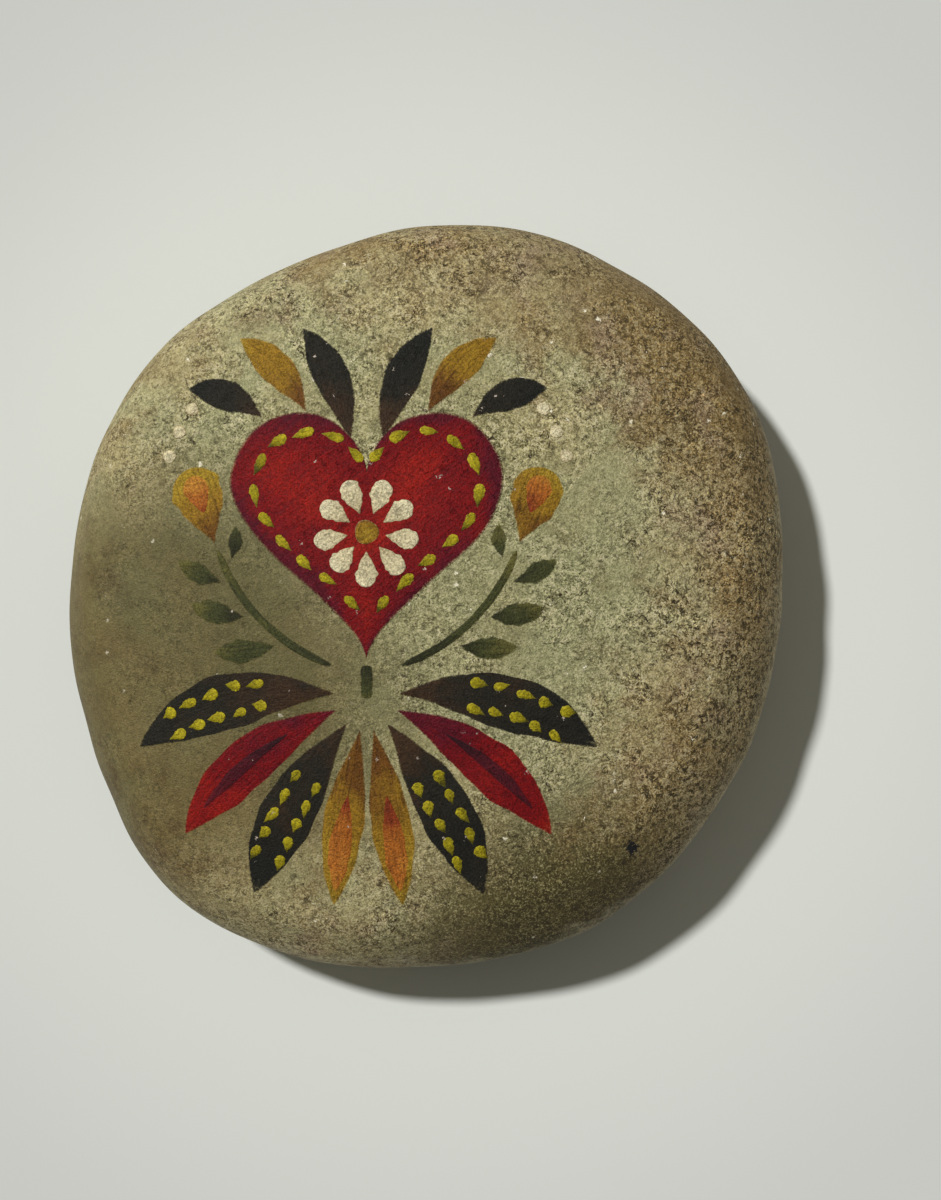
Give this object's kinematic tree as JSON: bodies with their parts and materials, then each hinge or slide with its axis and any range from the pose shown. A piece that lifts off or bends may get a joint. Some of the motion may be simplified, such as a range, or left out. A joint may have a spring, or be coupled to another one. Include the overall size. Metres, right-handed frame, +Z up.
{
  "type": "painted pebble ornament",
  "caption": "Flat rounded beach pebble with a low domed face, brush-painted with a folk heart, plumes and leaf sprays; lies free on a table or shelf as a keepsake or paperweight",
  "frame": {"origin": "middle of the flat worn resting face, on the floor", "axes": "+Z up through the thickness of the stone, +Y towards the crest of the painted ornament, +X to its right"},
  "size_m": [0.0899, 0.0933, 0.0284],
  "materials": {
    "stone": "fine speckled beach stone, grey olive with tan stains at the rim, lightly varnished",
    "red_paint": "brushed acrylic paint under a thin satin varnish, with the grain of the stone showing through",
    "dark_paint": "brushed acrylic paint under a thin satin varnish, with the grain of the stone showing through",
    "ochre_paint": "brushed acrylic paint under a thin satin varnish, with the grain of the stone showing through",
    "olive_paint": "brushed acrylic paint under a thin satin varnish, with the grain of the stone showing through",
    "cream_paint": "brushed acrylic paint under a thin satin varnish, with the grain of the stone showing through",
    "yellow_paint": "brushed acrylic paint under a thin satin varnish, with the grain of the stone showing through",
    "crimson_paint": "brushed acrylic paint under a thin satin varnish, with the grain of the stone showing through",
    "orange_paint": "brushed acrylic paint under a thin satin varnish, with the grain of the stone showing through"
  },
  "bodies": {
    "root": {"stone": "stone", "red_heart": "red_paint", "red_plumes": "red_paint", "dark_crest": "dark_paint", "dark_plumes": "dark_paint", "ochre_crest": "ochre_paint", "ochre_plumes": "ochre_paint", "ochre_buds": "ochre_paint", "daisy_centre": "ochre_paint", "stems": "olive_paint", "leaves": "olive_paint", "cream_dots": "cream_paint", "daisy_petals": "cream_paint", "heart_dabs": "yellow_paint", "plume_dabs": "yellow_paint", "plume_ribs": "crimson_paint", "plume_tips": "orange_paint", "bud_tips": "orange_paint"}
  },
  "joints": []
}
